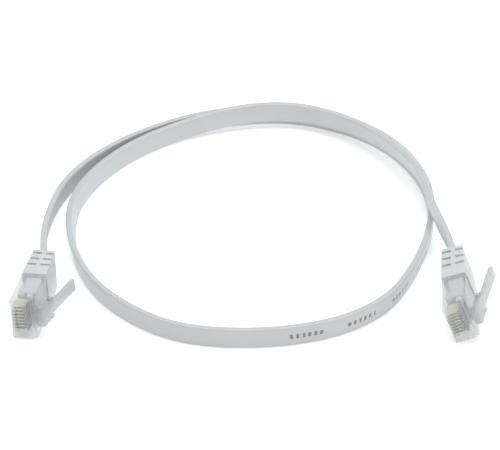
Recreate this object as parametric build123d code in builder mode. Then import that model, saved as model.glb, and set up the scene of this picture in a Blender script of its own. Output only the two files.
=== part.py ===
from build123d import *
import os
from math import cos, pi, radians, sin, tan

# Flat ethernet patch cable with two 8P8C plugs, lying on its edge in one and a half turns.
# Millimetres. The surface that it lies on is z = 0, and the origin is midway between the plugs.

# ---- plug, in its own frame: x through its thickness, from the contact side to the latch
# ---- side; y from the nose back along the cable; z across its width, with 0 in the middle
PLUG_WIDTH = 11.68
PLUG_THICKNESS = 6.5
PLUG_MIDDLE = PLUG_THICKNESS / 2
CLEAR_LENGTH = 13.0          # nose to the front edge of the boot
HOUSING_LENGTH = 19.0        # nose to the back of the neck, inside the boot
NECK_INSET = 0.7             # neck, all round, below the clear body
HOUSING_EDGE = 0.2
NOSE_STEP_X = 5.6            # the latch side of the nose is set back from here on
NOSE_STEP = 0.8

CONTACT_COUNT = 8
CONTACT_PITCH = 1.016
SLOT_WIDTH = 0.52
SLOT_DEPTH = 3.2
SLOT_BACK = 4.2
NOSE_WALL = 0.75             # closes the slots in front, except for their first part
NOSE_SLOT_DEPTH = 1.9
BLADE_THICKNESS = 0.34
BLADE_TOP = 0.55             # below the contact side
BLADE_FOOT = 3.15
BLADE_FRONT = 0.95
BLADE_BACK = 3.95
BLADE_ROUND = 0.45
TOOTH_WIDTH = 0.5
TOOTH_PITCH = 1.1
TOOTH_POINT = 4.0            # the teeth stop in the copper of the wire

WIRE_X = 4.1                 # wires in the nose
WIRE_RADIUS = 0.31
COPPER_RADIUS = 0.15
WIRE_BORE = 0.34
WIRE_FRONT = 0.9
WIRE_FAN_START = 8.5         # behind here the wires close up towards the flat cable
WIRE_FAN_END = 13.8
WIRE_BACK = 15.9
CABLE_WIRE_PITCH = 0.66

BAR_FRONT = 4.3              # load bar, a comb that the wires pass through
BAR_BACK = 5.6
BAR_BOTTOM = 3.4
BAR_TOP = 4.8
BAR_HALF = 4.5
BAR_GAP = 0.05

CAVITY_FRONT = 5.7
CAVITY_LOW = 0.95
CAVITY_HIGH = 5.45
CAVITY_HALF = 4.85

WINDOW_FRONT = 6.5           # opening for the strain relief bar, on the contact side
WINDOW_BACK = 9.8
WINDOW_HALF = 3.4
STRAIN_GAP = 0.1

TONGUE_FRONT = 5.8           # front end of the moulded core, inside the clear body
TONGUE_FRONT_LOW = 2.4
TONGUE_FRONT_HIGH = 5.1
TONGUE_REAR_LOW = 1.3
TONGUE_HALF = 4.6
CORE_GAP = 0.05
PASSAGE_HALF_THICKNESS = 0.42
PASSAGE_HALF = 4.0

BOOT_LENGTH = 11.8
BOOT_BACK = CLEAR_LENGTH + BOOT_LENGTH
BOOT_FRONT_THICKNESS = 6.7
BOOT_BACK_THICKNESS = 5.8
BOOT_FRONT_WIDTH = 11.9
BOOT_BACK_WIDTH = 11.3
BOOT_BACK_SHIFT = 0.5        # the cable end is pulled over and twisted by the stiff cable
BOOT_BACK_TWIST = 2.0
BOOT_EDGE = 0.3
GROOVE_COUNT = 3
GROOVE_PITCH = 2.78
GROOVE_FIRST = 1.5           # from the cable end of the boot
GROOVE_LENGTH = 0.85
GROOVE_DEPTH = 0.65
SPINE_WIDTH = 1.1

# ---- latch, in the plug's frame
LATCH_THICKNESS = 1.05
LATCH_ROOT_Y = 1.5
LATCH_ROOT_X = 8.2           # outer face of the lever over its root
LATCH_SLOPE = 15.5           # rest angle to the plug, degrees
LATCH_END_Y = 17.9
LATCH_FOOT_FRONT = 0.85
LATCH_FOOT_BACK = 2.3
SHOULDER_HALF = 3.1
ROOT_ROUND = 1.5             # front corners of the foot
SHOULDER_BACK = 5.0
NOTCH_HALF = 2.3
NUB_FRONT = 5.9
NUB_BACK = 6.9
TAB_HALF = 1.6
LATCH_GAP = 0.2              # between the lever's foot and the body, at the living hinge

# ---- cable
CABLE_WIDTH = 5.8
CABLE_THICKNESS = 1.7
CABLE_EDGE = 0.45
CABLE_START = 16.0           # its end inside each boot, from the nose
CABLE_BEND = 23.8            # first bend of the route, just inside the boot's mouth
PAIR_RADIUS = 0.58
PAIR_BORE = 0.62
PAIR_PITCH = 1.34
PAIR_OFFSETS = {
    colour: (number - 1.5) * PAIR_PITCH
    for number, colour in enumerate(("blue", "orange", "green", "brown"))
}
ARC_SHARE = 0.45             # part of the shorter run that each arc uses
TWIST_LENGTH = 4.0           # over which the cable rolls to meet the second plug
TWIST_MARGIN = 0.2


def plug_seat(x, y, z, yaw, pitch, roll):
    """Plane whose x, y and z are the plug's thickness, length and width."""
    nose = Vector(
        sin(radians(yaw)) * cos(radians(pitch)),
        -cos(radians(yaw)) * cos(radians(pitch)),
        sin(radians(pitch)),
    )
    level = Vector(cos(radians(yaw)), sin(radians(yaw)), 0)
    upright = nose.cross(level)
    through = level * cos(radians(roll)) + upright * sin(radians(roll))
    across = upright * cos(radians(roll)) - level * sin(radians(roll))
    return Plane(origin=(x, y, z), x_dir=through, z_dir=across)


# Where the plugs lie: the nose at the middle of the contact side, then yaw, pitch and roll.
SEATS = {
    "a": plug_seat(-63.2, -10.3, 5.92, -12.2, 0, 4.3),
    "b": plug_seat(51.0, -13.1, 5.39, -1.3, -6.5, 20.2),
}

# The route between the two boots, measured from the floor. It goes round outside, along the
# back, then the whole loop, back up inside the first turn, and over it to the second plug.
ROUTE = [
    (-56.8, 27.0, 5.2),
    (-55.1, 42.5, 3.7),
    (-51.7, 57.5, 3.0),
    (-44.5, 70.5, 2.95),
    (-33.5, 81.7, 2.95),
    (-20.4, 90.3, 2.95),
    (-5.9, 95.5, 2.95),
    (9.1, 97.1, 2.95),
    (23.1, 92.4, 2.95),
    (35.1, 84.0, 2.95),
    (43.3, 72.0, 2.95),
    (48.0, 58.5, 2.95),
    (48.9, 44.0, 2.95),
    (46.5, 29.0, 2.95),
    (42.2, 15.0, 2.95),
    (35.5, 1.0, 2.95),
    (24.1, -8.8, 2.95),
    (9.6, -13.8, 2.95),
    (-5.9, -14.9, 2.95),
    (-20.4, -12.3, 2.95),
    (-32.4, -3.8, 2.95),
    (-41.9, 7.7, 2.95),
    (-47.5, 21.7, 2.95),
    (-49.9, 37.0, 2.95),
    (-48.8, 51.5, 2.95),
    (-42.5, 65.9, 2.95),
    (-32.1, 79.1, 2.95),
    (-18.4, 88.4, 3.4),
    (-3.9, 93.3, 5.0),
    (11.1, 94.5, 5.3),
    (25.1, 88.4, 5.5),
    (35.4, 78.5, 6.0),
    (42.3, 65.7, 7.5),
    (47.1, 52.0, 9.6),
    (49.3, 37.5, 9.7),
    (52.4, 24.3, 9.5),
]


def square_to_plug(y):
    """Sketch plane across the plug at a distance from its nose: x thickness, y minus width."""
    return Plane(origin=(0, y, 0), x_dir=(1, 0, 0), z_dir=(0, 1, 0))


def lane(index):
    """Place of a contact or wire across the plug's width."""
    return (index - (CONTACT_COUNT - 1) / 2) * CONTACT_PITCH


def cable_lane(index):
    """Place of the same wire where the eight lie close together in the cable."""
    return (index - (CONTACT_COUNT - 1) / 2) * CABLE_WIRE_PITCH


def outer_face(y):
    """Height of the lever's outer face above the contact side."""
    return LATCH_ROOT_X + (y - LATCH_ROOT_Y) * tan(radians(LATCH_SLOPE))


# ---- clear housing ----
neck_thickness = PLUG_THICKNESS - 2 * NECK_INSET
neck_width = PLUG_WIDTH - 2 * NECK_INSET
with BuildPart() as housing:
    with BuildSketch(square_to_plug(0)):
        with Locations((PLUG_MIDDLE, 0)):
            RectangleRounded(PLUG_THICKNESS, PLUG_WIDTH, HOUSING_EDGE)
    extrude(amount=CLEAR_LENGTH)
    with BuildSketch(square_to_plug(CLEAR_LENGTH)):
        with Locations((PLUG_MIDDLE, 0)):
            Rectangle(neck_thickness, neck_width)
    extrude(amount=HOUSING_LENGTH - CLEAR_LENGTH)
    with BuildSketch(square_to_plug(0)):
        with Locations((NOSE_STEP_X, 0)):
            Rectangle(PLUG_THICKNESS, 2 * PLUG_WIDTH, align=(Align.MIN, Align.CENTER))
    extrude(amount=NOSE_STEP, mode=Mode.SUBTRACT)
    with BuildSketch(square_to_plug(CAVITY_FRONT)):
        with Locations(((CAVITY_LOW + CAVITY_HIGH) / 2, 0)):
            Rectangle(CAVITY_HIGH - CAVITY_LOW, 2 * CAVITY_HALF)
    extrude(amount=HOUSING_LENGTH, mode=Mode.SUBTRACT)
    with BuildSketch(square_to_plug(BAR_FRONT)):
        with Locations(((BAR_BOTTOM + BAR_TOP) / 2, 0)):
            Rectangle(BAR_TOP - BAR_BOTTOM + 2 * BAR_GAP, 2 * (BAR_HALF + BAR_GAP))
    extrude(amount=CAVITY_FRONT - BAR_FRONT, mode=Mode.SUBTRACT)
    with BuildSketch(square_to_plug(0)):
        with Locations(*[(0, lane(i)) for i in range(CONTACT_COUNT)]):
            Rectangle(2 * NOSE_SLOT_DEPTH, SLOT_WIDTH)
    extrude(amount=SLOT_BACK, mode=Mode.SUBTRACT)
    with BuildSketch(square_to_plug(NOSE_WALL)):
        with Locations(*[(0, lane(i)) for i in range(CONTACT_COUNT)]):
            Rectangle(2 * SLOT_DEPTH, SLOT_WIDTH)
    extrude(amount=SLOT_BACK - NOSE_WALL, mode=Mode.SUBTRACT)
    with BuildSketch(square_to_plug(BLADE_FRONT)):
        with Locations(*[(SLOT_DEPTH, lane(i)) for i in range(CONTACT_COUNT)]):
            Rectangle(TOOTH_POINT - SLOT_DEPTH, SLOT_WIDTH, align=(Align.MIN, Align.CENTER))
    extrude(amount=BLADE_BACK - BLADE_FRONT, mode=Mode.SUBTRACT)
    with BuildSketch(square_to_plug(WIRE_FRONT)):
        with Locations(*[(WIRE_X, lane(i)) for i in range(CONTACT_COUNT)]):
            Circle(WIRE_BORE)
    extrude(amount=BAR_FRONT - WIRE_FRONT, mode=Mode.SUBTRACT)
    with BuildSketch(Plane.YZ):
        with Locations(((WINDOW_FRONT + WINDOW_BACK) / 2, 0)):
            Rectangle(WINDOW_BACK - WINDOW_FRONT, 2 * WINDOW_HALF)
    extrude(amount=CAVITY_LOW, mode=Mode.SUBTRACT)

# ---- load bar, the comb behind the contacts ----
with BuildPart() as load_bar:
    with BuildSketch(square_to_plug(BAR_FRONT + BAR_GAP)):
        with Locations(((BAR_BOTTOM + BAR_TOP) / 2, 0)):
            RectangleRounded(BAR_TOP - BAR_BOTTOM, 2 * BAR_HALF, BAR_GAP * 4)
        with Locations(*[(WIRE_X, lane(i)) for i in range(CONTACT_COUNT)]):
            Circle(WIRE_BORE, mode=Mode.SUBTRACT)
    extrude(amount=BAR_BACK - BAR_FRONT)

# ---- strain relief bar, pressed in through its window onto the moulded core ----
core_slope = (TONGUE_FRONT_LOW - TONGUE_REAR_LOW) / (CLEAR_LENGTH - TONGUE_FRONT)
strain_front = WINDOW_FRONT + STRAIN_GAP
strain_back = WINDOW_BACK - STRAIN_GAP
strain_front_foot = TONGUE_FRONT_LOW - (strain_front - TONGUE_FRONT) * core_slope - STRAIN_GAP
strain_back_foot = TONGUE_FRONT_LOW - (strain_back - TONGUE_FRONT) * core_slope - STRAIN_GAP
with BuildPart() as strain_bar:
    with BuildSketch(Plane.XY.offset(-WINDOW_HALF + STRAIN_GAP)):
        with BuildLine():
            Polyline(
                (STRAIN_GAP, strain_front + 2 * STRAIN_GAP),
                (3 * STRAIN_GAP, strain_front),
                (strain_front_foot, strain_front),
                (strain_back_foot, strain_back),
                (STRAIN_GAP, strain_back),
                close=True,
            )
        make_face()
    extrude(amount=2 * (WINDOW_HALF - STRAIN_GAP))

# ---- boot, moulded round the neck and into the clear body ----
with BuildPart() as boot:
    with BuildSketch(square_to_plug(CLEAR_LENGTH)):
        with Locations((PLUG_MIDDLE, 0)):
            RectangleRounded(BOOT_FRONT_THICKNESS, BOOT_FRONT_WIDTH, BOOT_EDGE)
    with BuildSketch(square_to_plug(BOOT_BACK)):
        with Locations((PLUG_MIDDLE - BOOT_BACK_SHIFT, 0)):
            RectangleRounded(BOOT_BACK_THICKNESS, BOOT_BACK_WIDTH, BOOT_EDGE, rotation=BOOT_BACK_TWIST)
    loft()
    with BuildSketch(square_to_plug(CLEAR_LENGTH)):
        with Locations((PLUG_MIDDLE, 0)):
            Rectangle(neck_thickness, neck_width)
    extrude(amount=HOUSING_LENGTH - CLEAR_LENGTH, mode=Mode.SUBTRACT)
    groove_x = (SPINE_WIDTH + PLUG_THICKNESS) / 2
    for number in range(GROOVE_COUNT):
        groove_y = BOOT_BACK - GROOVE_FIRST - number * GROOVE_PITCH
        half_width = (BOOT_BACK_WIDTH + (BOOT_FRONT_WIDTH - BOOT_BACK_WIDTH)
                      * (BOOT_BACK - groove_y) / BOOT_LENGTH) / 2
        with BuildSketch(square_to_plug(groove_y - GROOVE_LENGTH / 2)):
            with Locations(*[(PLUG_MIDDLE + side * groove_x, end * half_width)
                             for side in (-1, 1) for end in (-1, 1)]):
                Rectangle(PLUG_THICKNESS, 2 * GROOVE_DEPTH)
        extrude(amount=GROOVE_LENGTH, mode=Mode.SUBTRACT)
    with BuildSketch(Plane.XY.offset(-TONGUE_HALF)):
        with BuildLine():
            Polyline(
                (TONGUE_FRONT_LOW, TONGUE_FRONT),
                (TONGUE_FRONT_HIGH, TONGUE_FRONT),
                (CAVITY_HIGH - CORE_GAP, CLEAR_LENGTH),
                (CAVITY_HIGH - CORE_GAP, HOUSING_LENGTH),
                (TONGUE_REAR_LOW, HOUSING_LENGTH),
                (TONGUE_REAR_LOW, CLEAR_LENGTH),
                close=True,
            )
        make_face()
    extrude(amount=2 * TONGUE_HALF)
    with BuildSketch(Plane.XY.offset(-PASSAGE_HALF)):
        with BuildLine():
            Polyline(
                (WIRE_X - PASSAGE_HALF_THICKNESS, CAVITY_FRONT),
                (WIRE_X + PASSAGE_HALF_THICKNESS, CAVITY_FRONT),
                (WIRE_X + PASSAGE_HALF_THICKNESS, WIRE_FAN_START),
                (PLUG_MIDDLE + PASSAGE_HALF_THICKNESS, WIRE_FAN_END),
                (PLUG_MIDDLE + PASSAGE_HALF_THICKNESS, CABLE_START),
                (PLUG_MIDDLE - PASSAGE_HALF_THICKNESS, CABLE_START),
                (PLUG_MIDDLE - PASSAGE_HALF_THICKNESS, WIRE_FAN_END),
                (WIRE_X - PASSAGE_HALF_THICKNESS, WIRE_FAN_START),
                close=True,
            )
        make_face()
    extrude(amount=2 * PASSAGE_HALF, mode=Mode.SUBTRACT)

# ---- latch: foot, lever with its two shoulders, and thumb tab ----
lever_drop = LATCH_THICKNESS / cos(radians(LATCH_SLOPE))
foot_x = PLUG_THICKNESS + LATCH_GAP
with BuildPart() as latch:
    with BuildSketch(Plane.XY.offset(-SHOULDER_HALF)):
        with BuildLine():
            Polyline(
                (foot_x, LATCH_FOOT_FRONT),
                (outer_face(LATCH_FOOT_FRONT) - LATCH_THICKNESS / 2, LATCH_FOOT_FRONT),
                (outer_face(LATCH_ROOT_Y), LATCH_ROOT_Y),
                (outer_face(LATCH_END_Y), LATCH_END_Y),
                (outer_face(LATCH_END_Y) - lever_drop, LATCH_END_Y),
                (outer_face(LATCH_FOOT_BACK) - lever_drop, LATCH_FOOT_BACK),
                (foot_x, LATCH_ROOT_Y),
                close=True,
            )
        make_face()
    extrude(amount=2 * SHOULDER_HALF)
    fillet(latch.edges().filter_by(Axis.Z).sort_by(Axis.Y)[-2:], LATCH_THICKNESS / 4)
    with BuildSketch(Plane.YZ.offset(PLUG_THICKNESS)):
        for side in (-1, 1):
            with Locations((LATCH_FOOT_FRONT, side * SHOULDER_HALF)):
                Rectangle(2 * ROOT_ROUND, 2 * ROOT_ROUND)
            with Locations((LATCH_FOOT_FRONT + ROOT_ROUND, side * (SHOULDER_HALF - ROOT_ROUND))):
                Circle(ROOT_ROUND, mode=Mode.SUBTRACT)
        for side in (-1, 1):
            with Locations(((SHOULDER_BACK + NUB_FRONT) / 2, side * (NOTCH_HALF + SHOULDER_HALF) / 2)):
                Rectangle(NUB_FRONT - SHOULDER_BACK, SHOULDER_HALF - NOTCH_HALF)
            with Locations((NUB_BACK, side * SHOULDER_HALF)):
                Rectangle(LATCH_END_Y, 2 * (SHOULDER_HALF - TAB_HALF), align=(Align.MIN, Align.CENTER))
    extrude(amount=LATCH_ROOT_X + PLUG_THICKNESS, mode=Mode.SUBTRACT)


def make_contact(index):
    """Gold blade with two teeth that go into the wire below it."""
    with BuildPart() as blade:
        with BuildSketch(Plane.XY.offset(lane(index) - BLADE_THICKNESS / 2)):
            with Locations(((BLADE_TOP + BLADE_FOOT) / 2, (BLADE_FRONT + BLADE_BACK) / 2)):
                RectangleRounded(BLADE_FOOT - BLADE_TOP, BLADE_BACK - BLADE_FRONT, BLADE_ROUND)
            middle = (BLADE_FRONT + BLADE_BACK) / 2
            for side in (-1, 1):
                tooth = middle + side * TOOTH_PITCH / 2
                with BuildLine():
                    Polyline(
                        (BLADE_FOOT - BLADE_ROUND, tooth - TOOTH_WIDTH / 2),
                        (BLADE_FOOT + BLADE_ROUND, tooth - TOOTH_WIDTH / 2),
                        (TOOTH_POINT, tooth),
                        (BLADE_FOOT + BLADE_ROUND, tooth + TOOTH_WIDTH / 2),
                        (BLADE_FOOT - BLADE_ROUND, tooth + TOOTH_WIDTH / 2),
                        close=True,
                    )
                make_face()
        extrude(amount=BLADE_THICKNESS)
    return blade


def make_wire(index, radius, contact, bore=0):
    """One wire, straight under its contact and then closing up towards the cable."""
    with BuildPart() as wire:
        with BuildLine() as path:
            FilletPolyline(
                (WIRE_X, WIRE_FRONT + BAR_GAP, lane(index)),
                (WIRE_X, WIRE_FAN_START, lane(index)),
                (PLUG_MIDDLE, WIRE_FAN_END, cable_lane(index)),
                (PLUG_MIDDLE, WIRE_BACK, cable_lane(index)),
                radius=[2.0, 2.0],
            )
        with BuildSketch(square_to_plug(WIRE_FRONT + BAR_GAP)):
            with Locations((WIRE_X, -lane(index))):
                Circle(radius)
                if bore:
                    Circle(bore, mode=Mode.SUBTRACT)
        sweep(path=path.wires()[0])
        add(contact, mode=Mode.SUBTRACT)
    return wire


# ---- the cable's route, in three stretches: upright, rolling, and rolled to the second plug ----
seat_a = SEATS["a"]
seat_b = SEATS["b"]


def in_plug(seat, y):
    return seat.from_local_coords(Vector(PLUG_MIDDLE, y, 0))


route = [in_plug(seat_a, CABLE_START), in_plug(seat_a, CABLE_BEND)]
route += [Vector(*point) for point in ROUTE]
route += [in_plug(seat_b, CABLE_BEND), in_plug(seat_b, CABLE_START)]


def bend_radii(points):
    """Arc radius for each corner, as large as its two runs allow."""
    radii = []
    for before, corner, after in zip(points, points[1:], points[2:]):
        into = corner - before
        out = after - corner
        turn = radians(into.get_angle(out))
        radii.append(ARC_SHARE * min(into.length, out.length) / tan(turn / 2))
    return radii


last_run = (route[-2] - route[-3]).normalized()
twist_end = route[-2] - last_run * (ARC_SHARE * (route[-1] - route[-2]).length + TWIST_MARGIN)
twist_start = twist_end - last_run * TWIST_LENGTH
upright_route = route[:-2] + [twist_start]
rolled_route = [twist_end] + route[-2:]
level_width = Vector(0, 0, 1)
all_radii = bend_radii(route)


def section_plane(point, direction, width):
    """Plane square to the route: x through the cable's thickness, y along its width."""
    return Plane(origin=point, x_dir=width.cross(direction), z_dir=direction)


def draw_jacket():
    RectangleRounded(CABLE_THICKNESS, CABLE_WIDTH, CABLE_EDGE)


def draw_round(radius, offset):
    with Locations((0, offset)):
        Circle(radius)


def first_stretch(draw):
    """Cross-section carried from the first plug, upright, to where the roll begins."""
    with BuildPart() as stretch:
        with BuildLine() as path:
            FilletPolyline(*upright_route, radius=all_radii[:-1])
        with BuildSketch(section_plane(route[0], route[1] - route[0], level_width)):
            draw()
        sweep(path=path.wires()[0])
    return stretch.part


upright_jacket = first_stretch(draw_jacket)
arrival_face = upright_jacket.faces().sort_by_distance(twist_start)[0]
arrival_edge = arrival_face.edges().sort_by(SortBy.LENGTH)[-1]
arrival_width = (arrival_edge @ 1 - arrival_edge @ 0).normalized()
if arrival_width.Z < 0:
    arrival_width = arrival_width * -1


def follow_route(draw):
    """Solid that carries a cross-section along the whole route."""
    with BuildPart() as strand:
        add(first_stretch(draw))
        with BuildSketch(section_plane(twist_start, last_run, arrival_width)):
            draw()
        with BuildSketch(section_plane(twist_end, last_run, seat_b.z_dir)):
            draw()
        loft(ruled=True)
        with BuildLine() as path:
            FilletPolyline(*rolled_route, radius=all_radii[-1:])
        with BuildSketch(section_plane(twist_end, last_run, seat_b.z_dir)):
            draw()
        sweep(path=path.wires()[0])
    return strand.part


pieces = {}
run_lengths = [(b - a).length for a, b in zip(route, route[1:])]
print("runs mm", [round(run, 1) for run in run_lengths])
print("arc radii mm", [round(radius, 1) for radius in all_radii])

jacket_outer = follow_route(draw_jacket)
with BuildPart() as jacket:
    add(jacket_outer)
    for offset in PAIR_OFFSETS.values():
        add(follow_route(lambda: draw_round(PAIR_BORE, offset)), mode=Mode.SUBTRACT)
pieces["cable_jacket"] = jacket.part

for colour, offset in PAIR_OFFSETS.items():
    pieces[f"pair_{colour}"] = follow_route(lambda: draw_round(PAIR_RADIUS, offset))

contacts = [make_contact(index) for index in range(CONTACT_COUNT)]
wires = [
    make_wire(index, WIRE_RADIUS, contact.part, COPPER_RADIUS)
    for index, contact in enumerate(contacts)
]
with BuildPart() as conductors:
    for index in range(CONTACT_COUNT):
        add(make_wire(index, COPPER_RADIUS, contacts[index].part).part)

for side, seat in SEATS.items():
    with BuildPart() as fitted_boot:
        add(boot.part.moved(seat.location))
        add(jacket_outer, mode=Mode.SUBTRACT)
    pieces[f"boot_{side}"] = fitted_boot.part
    pieces[f"housing_{side}"] = housing.part.moved(seat.location)
    pieces[f"latch_{side}"] = latch.part.moved(seat.location)
    pieces[f"load_bar_{side}"] = load_bar.part.moved(seat.location)
    pieces[f"strain_bar_{side}"] = strain_bar.part.moved(seat.location)
    pieces[f"conductors_{side}"] = conductors.part.moved(seat.location)
    for index in range(CONTACT_COUNT):
        pieces[f"contact_{side}_{index + 1}"] = contacts[index].part.moved(seat.location)
        pieces[f"wire_{side}_{index + 1}"] = wires[index].part.moved(seat.location)

os.makedirs("parts", exist_ok=True)
for name, piece in pieces.items():
    piece.label = name
    export_step(piece, f"parts/{name}.step")

route_length = sum(run_lengths)
for radius, before, corner, after in zip(all_radii, route, route[1:], route[2:]):
    half_turn = radians((corner - before).get_angle(after - corner)) / 2
    route_length += radius * 2 * (half_turn - tan(half_turn))
section_area = CABLE_THICKNESS * CABLE_WIDTH - (4 - pi) * CABLE_EDGE**2
print("cable length mm", round(route_length, 1))
print("jacket volume", round(jacket_outer.volume, 1), "section times length", round(section_area * route_length, 1))
for side in SEATS:
    plug_names = [name for name in pieces if name.endswith(f"_{side}") or f"_{side}_" in name]
    plug_box = Compound(children=[pieces[name] for name in plug_names]).bounding_box()
    print("plug", side, "from", plug_box.min, "to", plug_box.max)
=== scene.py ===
from math import cos, radians, sin

import bmesh
import bpy
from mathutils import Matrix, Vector


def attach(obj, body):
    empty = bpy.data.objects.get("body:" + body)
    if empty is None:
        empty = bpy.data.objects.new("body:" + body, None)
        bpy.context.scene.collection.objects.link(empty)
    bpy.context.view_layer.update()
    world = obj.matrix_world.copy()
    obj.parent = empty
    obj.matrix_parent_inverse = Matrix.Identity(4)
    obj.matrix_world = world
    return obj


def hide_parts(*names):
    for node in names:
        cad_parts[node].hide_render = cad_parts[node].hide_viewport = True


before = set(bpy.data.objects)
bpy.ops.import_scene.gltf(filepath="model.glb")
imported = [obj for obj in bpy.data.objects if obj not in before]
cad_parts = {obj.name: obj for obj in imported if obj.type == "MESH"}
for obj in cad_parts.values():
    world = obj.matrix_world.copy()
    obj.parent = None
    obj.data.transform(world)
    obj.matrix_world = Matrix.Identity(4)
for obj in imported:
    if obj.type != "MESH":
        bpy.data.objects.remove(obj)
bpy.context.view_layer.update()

MM = 0.001
scene = bpy.context.scene

# ---------------------------------------------------------------------------
# Sizes of the flat cable, in millimetres
# ---------------------------------------------------------------------------
CABLE_WIDTH = 5.8
CABLE_THICKNESS = 1.7
CABLE_CORNER = 0.45
PAIR_WIDTH = 1.16
PAIR_PITCH = 1.34
PAIR_ROUNDING = 0.499         # share of its width: just under half, so the bar comes out round
PAIR_COLOURS = ("blue", "orange", "green", "brown")
SPLINE_STEPS = 14             # points on the cable's line for each point of its route
CORNER_STEPS = 8

ROOT = "cable_and_plugs"
SIDES = ("a", "b")
CONTACTS = range(1, 9)


def plug_seat(x, y, z, yaw, pitch, roll):
    """Nose of a plug and its three directions: thickness, length and width."""
    yaw, pitch, roll = radians(yaw), radians(pitch), radians(roll)
    nose = Vector((sin(yaw) * cos(pitch), -cos(yaw) * cos(pitch), sin(pitch)))
    level = Vector((cos(yaw), sin(yaw), 0))
    upright = nose.cross(level)
    thickness = level * cos(roll) + upright * sin(roll)
    width = upright * cos(roll) - level * sin(roll)
    return Vector((x, y, z)), thickness, width.cross(thickness), width


SEATS = {
    "a": plug_seat(-63.2, -10.3, 5.92, -12.2, 0, 4.3),
    "b": plug_seat(51.0, -13.1, 5.39, -1.3, -6.5, 20.2),
}
PLUG_MIDDLE = 3.25
CABLE_START = 16.0            # distances from the nose, inside the boot
CABLE_STRAIGHT = 20.5
CABLE_BEND = 23.8
LEANS = {"a": -4.3, "b": 20.2}  # degrees


def in_plug(side, length_wise, thickness_wise=PLUG_MIDDLE, width_wise=0.0):
    """A point of a plug, in millimetres, from the middle of its contact side at the nose."""
    origin, thickness, length, width = SEATS[side]
    return origin + thickness * thickness_wise + length * length_wise + width * width_wise


# ---------------------------------------------------------------------------
# Camera
# ---------------------------------------------------------------------------
CAMERA_TARGET = Vector((-0.9, 43.5, 0.0)) * MM
CAMERA_DISTANCE = 1.1
CAMERA_ELEVATION = radians(33.27)
CAMERA_LENS = 290.2           # millimetres
SENSOR_WIDTH = 36.0
CAMERA_REACH = 10.0

camera_data = bpy.data.cameras.new("camera")
camera_data.sensor_width = SENSOR_WIDTH
camera_data.lens = CAMERA_LENS
camera_data.clip_end = CAMERA_REACH
camera = bpy.data.objects.new("camera", camera_data)
scene.collection.objects.link(camera)
camera.location = CAMERA_TARGET + Vector(
    (0, -CAMERA_DISTANCE * cos(CAMERA_ELEVATION), CAMERA_DISTANCE * sin(CAMERA_ELEVATION))
)
camera.rotation_euler = (radians(90) - CAMERA_ELEVATION, 0, 0)
scene.camera = camera

# ---------------------------------------------------------------------------
# The cable's line: x, y, z in millimetres, then its lean towards the loop's middle in degrees
# ---------------------------------------------------------------------------
ROUTE = [
    (*in_plug("a", CABLE_START), LEANS["a"]),
    (*in_plug("a", CABLE_STRAIGHT), LEANS["a"]),
    (*in_plug("a", CABLE_BEND), LEANS["a"]),
    (-56.8, 27.0, 5.2, 5),
    (-55.7, 42.5, 3.7, 8),
    (-52.2, 57.5, 3.0, 0),
    (-44.5, 70.5, 2.95, -2),
    (-33.5, 81.7, 2.95, -2),
    (-20.4, 90.3, 2.95, -1),
    (-5.9, 95.5, 2.95, 0),
    (9.1, 97.1, 2.95, 0),
    (23.1, 92.4, 2.95, 0),
    (35.1, 84.0, 2.95, 0),
    (43.3, 72.0, 2.95, 0),
    (48.0, 58.5, 2.95, 0),
    (48.9, 44.0, 2.95, -2),
    (46.5, 29.0, 2.95, -5),
    (42.2, 15.0, 3.0, -8),
    (35.5, 1.0, 2.95, -5),
    (24.1, -8.8, 2.95, -2),
    (9.6, -13.8, 2.95, -1),
    (-5.9, -14.9, 2.95, -1),
    (-20.4, -12.3, 2.95, -2),
    (-32.4, -3.8, 2.95, -4),
    (-41.9, 7.7, 3.0, -6),
    (-47.5, 21.7, 3.0, -9),
    (-49.9, 37.0, 3.05, -12),
    (-48.8, 51.5, 3.0, -10),
    (-42.5, 65.9, 3.0, -7),
    (-32.1, 79.1, 2.95, -4),
    (-18.4, 88.4, 3.4, -1),
    (-3.9, 93.3, 5.0, 0),
    (11.1, 94.5, 5.3, 4),
    (25.1, 88.4, 5.5, 10),
    (35.4, 78.5, 6.0, 17),
    (42.3, 65.7, 7.5, 22),
    (46.5, 52.0, 9.6, 20),
    (48.4, 37.5, 9.7, 12),
    (51.6, 24.3, 9.5, 8),
    (*in_plug("b", CABLE_BEND), LEANS["b"]),
    (*in_plug("b", CABLE_STRAIGHT), LEANS["b"]),
    (*in_plug("b", CABLE_START), LEANS["b"]),
]


def cable_line(name):
    """Smooth curve along the route. Its normals stay level, turned only by the lean."""
    curve = bpy.data.curves.new(name, "CURVE")
    curve.dimensions = "3D"
    curve.twist_mode = "Z_UP"
    curve.resolution_u = SPLINE_STEPS
    spline = curve.splines.new("NURBS")
    spline.points.add(len(ROUTE) - 1)
    for point, (x, y, z, lean) in zip(spline.points, ROUTE):
        point.co = (x * MM, y * MM, z * MM, 1)
        point.tilt = radians(lean)
    spline.use_endpoint_u = True
    spline.order_u = 3
    line = bpy.data.objects.new(name, curve)
    scene.collection.objects.link(line)
    return line


def evaluated_mesh(piece):
    """Plain mesh of a piece with its modifiers or its curve worked out."""
    depsgraph = bpy.context.evaluated_depsgraph_get()
    depsgraph.update()
    return bpy.data.meshes.new_from_object(piece.evaluated_get(depsgraph))


# ---------------------------------------------------------------------------
# Small helpers for node trees
# ---------------------------------------------------------------------------
def add_node(tree, kind, inputs=None, **settings):
    """New node with its settings and input values; a link is given as an output socket."""
    node = tree.nodes.new(kind)
    for name, value in settings.items():
        setattr(node, name, value)
    for name, value in (inputs or {}).items():
        if isinstance(value, bpy.types.NodeSocket):
            tree.links.new(value, node.inputs[name])
        else:
            node.inputs[name].default_value = value
    return node


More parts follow.
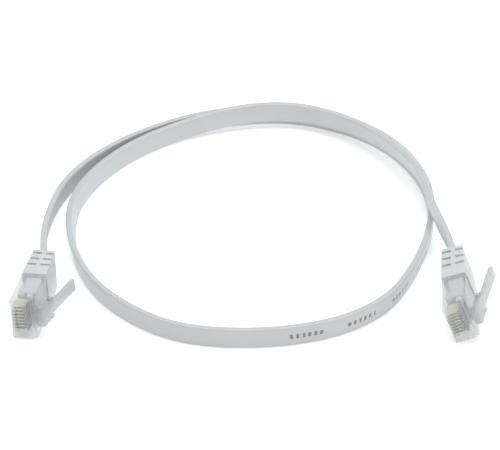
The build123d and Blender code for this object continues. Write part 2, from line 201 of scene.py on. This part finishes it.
def new_material(name):
    """Empty material with its output and one Principled shader."""
    material = bpy.data.materials.new(name)
    material.use_nodes = True
    tree = material.node_tree
    tree.nodes.clear()
    output = add_node(tree, "ShaderNodeOutputMaterial")
    shader = add_node(tree, "ShaderNodeBsdfPrincipled")
    tree.links.new(shader.outputs[0], output.inputs["Surface"])
    return material, tree, shader


def noise(tree, coordinates, scale, detail=3.0, roughness=0.5):
    return add_node(
        tree,
        "ShaderNodeTexNoise",
        {"Vector": coordinates, "Scale": scale, "Detail": detail, "Roughness": roughness},
    ).outputs["Fac"]


def map_range(tree, value, low, high):
    return add_node(
        tree, "ShaderNodeMapRange", {"Value": value, "To Min": low, "To Max": high}
    ).outputs["Result"]


def compute(tree, operation, first, second=0.0):
    node = tree.nodes.new("ShaderNodeMath")
    node.operation = operation
    for socket, value in zip(node.inputs, (first, second)):
        if isinstance(value, bpy.types.NodeSocket):
            tree.links.new(value, socket)
        else:
            socket.default_value = value
    return node.outputs[0]


def mix_colour(tree, factor, first, second):
    node = tree.nodes.new("ShaderNodeMix")
    node.data_type = "RGBA"
    for index, value in ((0, factor), (6, first), (7, second)):
        if isinstance(value, bpy.types.NodeSocket):
            tree.links.new(value, node.inputs[index])
        else:
            node.inputs[index].default_value = value
    return node.outputs[2]


def bump(tree, height, distance, strength=0.5):
    return add_node(
        tree, "ShaderNodeBump", {"Height": height, "Distance": distance, "Strength": strength}
    ).outputs["Normal"]


def moulded_plastic(name, colour, shade, roughness, grain=1400.0, depth=0.02 * MM):
    """Opaque moulded plastic: faint cloudy colour, uneven gloss and a fine skin."""
    material, tree, shader = new_material(name)
    place = add_node(tree, "ShaderNodeTexCoord").outputs["Object"]
    clouds = noise(tree, place, 160.0)
    skin = noise(tree, place, grain, detail=4.0)
    tree.links.new(mix_colour(tree, clouds, (*colour, 1), (*shade, 1)), shader.inputs["Base Color"])
    tree.links.new(
        map_range(tree, skin, roughness - 0.07, roughness + 0.09), shader.inputs["Roughness"]
    )
    tree.links.new(bump(tree, skin, depth), shader.inputs["Normal"])
    return material


# ---------------------------------------------------------------------------
# Finishes
# ---------------------------------------------------------------------------
PRINT_START = 220.0           # millimetres along the cable
MARK_PITCH = 1.62             # millimetres
MARKS_IN_GROUP = 6
MARKS_IN_GAP = 4
PRINT_GROUPS = 4
INK = (0.16, 0.17, 0.18, 1)
OUTER_SIDE = -0.8             # millimetres from the cable's middle plane


def cable_jacket_finish():
    """White PVC with draw lines along it and a row of plain grey marks on its outer side."""
    material, tree, shader = new_material("jacket_white_pvc")
    along = add_node(tree, "ShaderNodeAttribute", attribute_name="along").outputs["Fac"]
    section = add_node(tree, "ShaderNodeAttribute", attribute_name="section").outputs["Vector"]
    across = add_node(tree, "ShaderNodeSeparateXYZ", {"Vector": section})
    place = add_node(tree, "ShaderNodeTexCoord").outputs["Object"]
    clouds = noise(tree, place, 90.0)
    drawn = add_node(
        tree,
        "ShaderNodeCombineXYZ",
        {
            "X": compute(tree, "MULTIPLY", along, 60.0),
            "Y": compute(tree, "MULTIPLY", across.outputs["Y"], 2600.0),
            "Z": compute(tree, "MULTIPLY", across.outputs["X"], 2600.0),
        },
    ).outputs[0]
    lines = noise(tree, drawn, 1.0)
    skin = noise(tree, place, 1800.0)
    white = mix_colour(tree, clouds, (0.605, 0.635, 0.65, 1), (0.55, 0.58, 0.60, 1))

    from_start = compute(tree, "SUBTRACT", along, PRINT_START * MM)
    mark_place = compute(tree, "DIVIDE", from_start, MARK_PITCH * MM)
    mark_number = compute(tree, "FLOOR", mark_place)
    group_marks = MARKS_IN_GROUP + MARKS_IN_GAP
    place_in_group = compute(tree, "MODULO", mark_number, group_marks)
    in_group = compute(tree, "LESS_THAN", place_in_group, MARKS_IN_GROUP - 0.5)
    after_start = compute(tree, "GREATER_THAN", mark_place, 0.0)
    before_end = compute(tree, "LESS_THAN", mark_number, PRINT_GROUPS * group_marks - 0.5)
    mark_size = add_node(
        tree, "ShaderNodeTexWhiteNoise", {"W": mark_number}, noise_dimensions="1D"
    ).outputs["Value"]
    mark_width = map_range(tree, mark_size, 0.35, 0.7)
    mark_height = map_range(tree, mark_size, 0.75 * MM, 0.55 * MM)
    in_mark = compute(tree, "LESS_THAN", compute(tree, "FRACT", mark_place), mark_width)
    in_height = compute(tree, "LESS_THAN", compute(tree, "ABSOLUTE", across.outputs["Y"]), mark_height)
    on_outside = compute(tree, "LESS_THAN", across.outputs["X"], OUTER_SIDE * MM)
    printed = compute(tree, "MULTIPLY", in_mark, in_height)
    printed = compute(tree, "MULTIPLY", printed, on_outside)
    printed = compute(tree, "MULTIPLY", printed, in_group)
    printed = compute(tree, "MULTIPLY", printed, after_start)
    printed = compute(tree, "MULTIPLY", printed, before_end)
    ink_wear = map_range(tree, noise(tree, place, 2400.0), 0.7, 1.0)
    printed = compute(tree, "MULTIPLY", printed, ink_wear)
    colour = mix_colour(tree, printed, white, INK)

    tree.links.new(colour, shader.inputs["Base Color"])
    tree.links.new(map_range(tree, lines, 0.33, 0.5), shader.inputs["Roughness"])
    relief = compute(tree, "ADD", lines, compute(tree, "MULTIPLY", skin, 0.6))
    tree.links.new(bump(tree, relief, 0.02 * MM, 0.4), shader.inputs["Normal"])
    shader.inputs["Subsurface Weight"].default_value = 0.08
    shader.inputs["Subsurface Scale"].default_value = 0.6 * MM
    return material


def clear_plastic(name, haze, haze_edge_on, tint, milk, shade):
    """Clear moulded polycarbonate: tinted, with a milky haze that is thicker seen edge on."""
    material, tree, shader = new_material(name)
    place = add_node(tree, "ShaderNodeTexCoord").outputs["Object"]
    flow = noise(tree, place, 260.0, detail=2.0)
    edge_on = add_node(tree, "ShaderNodeLayerWeight", {"Blend": 0.32}).outputs["Facing"]
    cloud = compute(
        tree,
        "MULTIPLY",
        map_range(tree, flow, 0.8, 1.2),
        map_range(tree, edge_on, haze, haze_edge_on),
    )
    tree.links.new(
        mix_colour(tree, flow, (*milk, 1), (*shade, 1)),
        shader.inputs["Base Color"],
    )
    tree.links.new(map_range(tree, flow, 0.05, 0.16), shader.inputs["Roughness"])
    tree.links.new(bump(tree, flow, 0.05 * MM, 0.35), shader.inputs["Normal"])
    shader.inputs["IOR"].default_value = 1.58
    see_through = add_node(tree, "ShaderNodeBsdfTransparent", {"Color": (*tint, 1)})
    layered = add_node(tree, "ShaderNodeMixShader", {"Fac": cloud})
    tree.links.new(see_through.outputs[0], layered.inputs[1])
    tree.links.new(shader.outputs[0], layered.inputs[2])
    output = next(node for node in tree.nodes if node.type == "OUTPUT_MATERIAL")
    tree.links.new(layered.outputs[0], output.inputs["Surface"])
    return material


def metal(name, colour, shade, roughness, metallic=1.0):
    """Bright metal with a fine uneven polish."""
    material, tree, shader = new_material(name)
    place = add_node(tree, "ShaderNodeTexCoord").outputs["Object"]
    clouds = noise(tree, place, 900.0)
    polish = noise(tree, place, 5200.0)
    tree.links.new(mix_colour(tree, clouds, (*colour, 1), (*shade, 1)), shader.inputs["Base Color"])
    tree.links.new(
        map_range(tree, polish, roughness - 0.08, roughness + 0.12), shader.inputs["Roughness"]
    )
    tree.links.new(bump(tree, polish, 0.01 * MM, 0.3), shader.inputs["Normal"])
    shader.inputs["Metallic"].default_value = metallic
    return material


JACKET = cable_jacket_finish()
BOOT = moulded_plastic("boot_white_pvc", (0.67, 0.695, 0.705), (0.63, 0.655, 0.67), 0.42)
CLEAR = clear_plastic(
    "clear_polycarbonate", 0.12, 0.75, (0.895, 0.907, 0.91), (0.98, 0.99, 0.99), (0.88, 0.90, 0.91)
)
LEVER = clear_plastic(
    "clear_lever_polycarbonate", 0.38, 0.8, (0.86, 0.872, 0.875), (0.61, 0.63, 0.635), (0.51, 0.53, 0.535)
)
GOLD = metal("contact_gold", (0.92, 0.86, 0.60), (0.84, 0.77, 0.48), 0.32, 0.6)
COPPER = metal("wire_copper", (0.66, 0.48, 0.35), (0.56, 0.40, 0.28), 0.35)
BAR = moulded_plastic("load_bar_plastic", (0.78, 0.78, 0.75), (0.72, 0.72, 0.69), 0.38)
STRAIN = moulded_plastic("strain_bar_plastic", (0.82, 0.82, 0.80), (0.76, 0.76, 0.74), 0.38)

# insulation colours, darkened with painted shade to look as they do in the shade inside the clear body
SHADED_WHITE = (0.46, 0.45, 0.40)
SHADED_INSULATION = {
    "orange": (0.34, 0.23, 0.14),
    "green": (0.09, 0.20, 0.11),
    "blue": (0.11, 0.13, 0.20),
    "brown": (0.15, 0.09, 0.05),
}
WIRE_ORDER = (
    ("orange", True),
    ("orange", False),
    ("green", True),
    ("blue", False),
    ("blue", True),
    ("green", False),
    ("brown", True),
    ("brown", False),
)


def insulation(colour_name, striped):
    """Insulation in a full colour, or white with bands of that colour; both are darkened with painted
    shade.
    """
    colour = SHADED_INSULATION[colour_name]
    if not striped:
        shade = tuple(channel * 0.82 for channel in colour)
        return moulded_plastic(f"wire_{colour_name}", colour, shade, 0.4, grain=3000.0)
    material, tree, shader = new_material(f"wire_white_{colour_name}")
    place = add_node(tree, "ShaderNodeTexCoord").outputs["Object"]
    bands = add_node(
        tree, "ShaderNodeTexWave", {"Vector": place, "Scale": 120.0, "Distortion": 0.6}
    ).outputs["Fac"]
    band = compute(tree, "GREATER_THAN", bands, 0.8)
    skin = noise(tree, place, 3000.0)
    tree.links.new(
        mix_colour(tree, band, (*SHADED_WHITE, 1), (*colour, 1)), shader.inputs["Base Color"]
    )
    tree.links.new(map_range(tree, skin, 0.33, 0.48), shader.inputs["Roughness"])
    tree.links.new(bump(tree, skin, 0.01 * MM), shader.inputs["Normal"])
    return material


WIRES = {entry: insulation(*entry) for entry in WIRE_ORDER}


def set_material(piece, material):
    """One material on every face of a piece or CAD node."""
    if not piece.material_slots:
        piece.data.materials.append(material)
    for material_slot in piece.material_slots:
        material_slot.material = material


# ---------------------------------------------------------------------------
# Flat strand along the cable's line, for the jacket and for the pairs inside it
# ---------------------------------------------------------------------------
def strand_tree():
    """Rounded bar drawn along a curve; it keeps its length and section as attributes."""
    tree = bpy.data.node_groups.new("flat_strand", "GeometryNodeTree")
    sockets = {}
    tree.interface.new_socket("Geometry", in_out="INPUT", socket_type="NodeSocketGeometry")
    for name, kind in (
        ("Thickness", "NodeSocketFloat"),
        ("Width", "NodeSocketFloat"),
        ("Corner", "NodeSocketFloat"),
        ("Corner Steps", "NodeSocketInt"),
        ("Offset", "NodeSocketFloat"),
        ("Material", "NodeSocketMaterial"),
    ):
        socket = tree.interface.new_socket(name, in_out="INPUT", socket_type=kind)
        sockets[name] = socket.identifier
    tree.interface.new_socket("Geometry", in_out="OUTPUT", socket_type="NodeSocketGeometry")
    given = add_node(tree, "NodeGroupInput").outputs

    points = add_node(
        tree, "GeometryNodeResampleCurve", {"Curve": given["Geometry"]}, mode="EVALUATED"
    )
    distance = add_node(tree, "GeometryNodeSplineParameter").outputs["Length"]
    line = add_node(
        tree,
        "GeometryNodeStoreNamedAttribute",
        {"Geometry": points.outputs[0], "Name": "along", "Value": distance},
        data_type="FLOAT",
        domain="POINT",
    )
    bar = add_node(
        tree,
        "GeometryNodeCurvePrimitiveQuadrilateral",
        {"Width": given["Thickness"], "Height": given["Width"]},
    )
    rounded = add_node(
        tree,
        "GeometryNodeFilletCurve",
        {"Curve": bar.outputs[0], "Radius": given["Corner"]},
        mode="POLY",
    )
    tree.links.new(given["Corner Steps"], rounded.inputs["Count"])
    shift = add_node(tree, "ShaderNodeCombineXYZ", {"Y": given["Offset"]}).outputs[0]
    shifted = add_node(
        tree,
        "GeometryNodeTransform",
        {"Geometry": rounded.outputs[0], "Translation": shift},
    )
    position = add_node(tree, "GeometryNodeInputPosition").outputs[0]
    profile = add_node(
        tree,
        "GeometryNodeStoreNamedAttribute",
        {"Geometry": shifted.outputs[0], "Name": "section"},
        data_type="FLOAT_VECTOR",
        domain="POINT",
    )
    tree.links.new(position, profile.inputs["Value"])
    drawn = add_node(
        tree,
        "GeometryNodeCurveToMesh",
        {"Curve": line.outputs[0], "Profile Curve": profile.outputs[0], "Fill Caps": True},
    )
    smooth = add_node(
        tree, "GeometryNodeSetShadeSmooth", {"Geometry": drawn.outputs[0], "Shade Smooth": True}
    )
    real = add_node(tree, "GeometryNodeRealizeInstances", {"Geometry": smooth.outputs[0]})
    finished = add_node(
        tree,
        "GeometryNodeSetMaterial",
        {"Geometry": real.outputs[0], "Material": given["Material"]},
    )
    result = add_node(tree, "NodeGroupOutput")
    tree.links.new(finished.outputs[0], result.inputs[0])
    return tree, sockets


STRAND_TREE, STRAND_SOCKETS = strand_tree()


def draw_strand(name, thickness, width, corner, offset, material):
    """Mesh strand along the cable's line, its section given in millimetres."""
    line = cable_line(f"{name}_line")
    modifier = line.modifiers.new("strand", "NODES")
    modifier.node_group = STRAND_TREE
    values = {
        "Thickness": thickness * MM,
        "Width": width * MM,
        "Corner": corner * MM,
        "Corner Steps": CORNER_STEPS,
        "Offset": offset * MM,
        "Material": material,
    }
    for socket_name, value in values.items():
        modifier[STRAND_SOCKETS[socket_name]] = value
    mesh = evaluated_mesh(line)
    mesh.name = name
    line.modifiers.remove(modifier)
    bpy.data.objects.remove(line)
    strand = bpy.data.objects.new(name, mesh)
    scene.collection.objects.link(strand)
    set_material(strand, material)
    return strand


def line_points():
    """Points that the strand's rings are centred on."""
    line = cable_line("route_line")
    mesh = evaluated_mesh(line)
    points = [tuple(vertex.co) for vertex in mesh.vertices]
    bpy.data.meshes.remove(mesh)
    bpy.data.objects.remove(line)
    return points


jacket = draw_strand("jacket", CABLE_THICKNESS, CABLE_WIDTH, CABLE_CORNER, 0.0, JACKET)
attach(jacket, ROOT)
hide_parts("cable_jacket")
for number, colour_name in enumerate(PAIR_COLOURS):
    pair = draw_strand(
        f"core_{colour_name}",
        PAIR_WIDTH,
        PAIR_WIDTH,
        PAIR_WIDTH * PAIR_ROUNDING,
        (number - (len(PAIR_COLOURS) - 1) / 2) * PAIR_PITCH,
        WIRES[(colour_name, False)],
    )
    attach(pair, ROOT)
    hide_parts(f"pair_{colour_name}")
line_points()


# ---------------------------------------------------------------------------
# Moulded pieces: the CAD shape with its edges rounded as a mould leaves them
# ---------------------------------------------------------------------------
BOOT_EDGE = 0.18              # millimetres
BODY_EDGE = 0.07
LEVER_EDGE = 0.16
ROUNDING_SEGMENTS = 3
ROUNDED_ANGLE = radians(35)
SHARP_ANGLE = radians(30)
FLAT_ANGLE = radians(1.0)
MERGE_DISTANCE = 0.001 * MM


def rounded_copy(name, node_name, edge, material, body):
    """Copy of a CAD node's solid, merged and with its sharp edges rounded."""
    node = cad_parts[node_name]
    shape = bmesh.new()
    shape.from_mesh(node.data)
    bmesh.ops.remove_doubles(shape, verts=shape.verts, dist=MERGE_DISTANCE)
    bmesh.ops.dissolve_limit(
        shape, angle_limit=FLAT_ANGLE, verts=shape.verts, edges=shape.edges
    )
    bmesh.ops.recalc_face_normals(shape, faces=shape.faces)
    mesh = bpy.data.meshes.new(name)
    shape.to_mesh(mesh)
    shape.free()
    mesh.materials.clear()
    piece = bpy.data.objects.new(name, mesh)
    scene.collection.objects.link(piece)
    set_material(piece, material)
    rounding = piece.modifiers.new("rounding", "BEVEL")
    rounding.width = edge * MM
    rounding.segments = ROUNDING_SEGMENTS
    rounding.limit_method = "ANGLE"
    rounding.angle_limit = ROUNDED_ANGLE
    finished = evaluated_mesh(piece)
    piece.modifiers.remove(rounding)
    piece.data = finished
    finished.name = name
    for polygon in finished.polygons:
        polygon.use_smooth = True
    finished.set_sharp_from_angle(angle=SHARP_ANGLE)
    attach(piece, body)
    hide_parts(node_name)


for side in SIDES:
    rounded_copy(f"boot_moulding_{side}", f"boot_{side}", BOOT_EDGE, BOOT, ROOT)
    rounded_copy(f"plug_body_{side}", f"housing_{side}", BODY_EDGE, CLEAR, ROOT)
    rounded_copy(
        f"latch_lever_{side}",
        f"latch_{side}",
        LEVER_EDGE,
        LEVER,
        f"latch_{side}_body",
    )
    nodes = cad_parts
    set_material(nodes[f"load_bar_{side}"], BAR)
    set_material(nodes[f"strain_bar_{side}"], STRAIN)
    set_material(nodes[f"conductors_{side}"], COPPER)
    for number in CONTACTS:
        set_material(nodes[f"contact_{side}_{number}"], GOLD)
        set_material(nodes[f"wire_{side}_{number}"], WIRES[WIRE_ORDER[number - 1]])

# ---------------------------------------------------------------------------
# Floor and light
# ---------------------------------------------------------------------------
FLOOR_SIZE = 6.0              # metres
FLOOR_GLOW = 0.33
SKY_STRENGTH = 0.44
OVERHEAD_POWER = 9.4          # watts
FRONT_POWER = 1.8
LIGHT_AIM = (0, 0.04, 0)


def floor_finish():
    """Matt white paper that stays bright under the object."""
    material, tree, shader = new_material("white_floor")
    place = add_node(tree, "ShaderNodeTexCoord").outputs["Object"]
    grain = noise(tree, place, 500.0)
    tree.links.new(
        mix_colour(tree, grain, (0.93, 0.93, 0.93, 1), (0.91, 0.91, 0.91, 1)),
        shader.inputs["Base Color"],
    )
    shader.inputs["Roughness"].default_value = 0.9
    shader.inputs["Specular IOR Level"].default_value = 0.1
    shader.inputs["Emission Color"].default_value = (1, 1, 1, 1)
    shader.inputs["Emission Strength"].default_value = FLOOR_GLOW
    return material


floor_mesh = bpy.data.meshes.new("floor")
half = FLOOR_SIZE / 2
floor_mesh.from_pydata(
    [(-half, -half, 0), (half, -half, 0), (half, half, 0), (-half, half, 0)], [], [(0, 1, 2, 3)]
)
floor = bpy.data.objects.new("floor", floor_mesh)
scene.collection.objects.link(floor)
set_material(floor, floor_finish())

world = bpy.data.worlds.new("studio")
world.use_nodes = True
background = world.node_tree.nodes["Background"]
background.inputs["Color"].default_value = (0.97, 0.985, 1.0, 1)
background.inputs["Strength"].default_value = SKY_STRENGTH
scene.world = world


def soft_light(name, place, aim, size, power):
    """Square soft box that points at a spot."""
    data = bpy.data.lights.new(name, "AREA")
    data.shape = "SQUARE"
    data.size = size
    data.energy = power
    light = bpy.data.objects.new(name, data)
    scene.collection.objects.link(light)
    light.location = place
    light.rotation_euler = (Vector(aim) - Vector(place)).to_track_quat("-Z", "Y").to_euler()


soft_light("overhead_light", (0.0, 0.15, 1.1), LIGHT_AIM, 1.0, OVERHEAD_POWER)
soft_light("front_light", (1.1, -0.5, 0.5), LIGHT_AIM, 0.5, FRONT_POWER)

scene.view_settings.view_transform = "Standard"
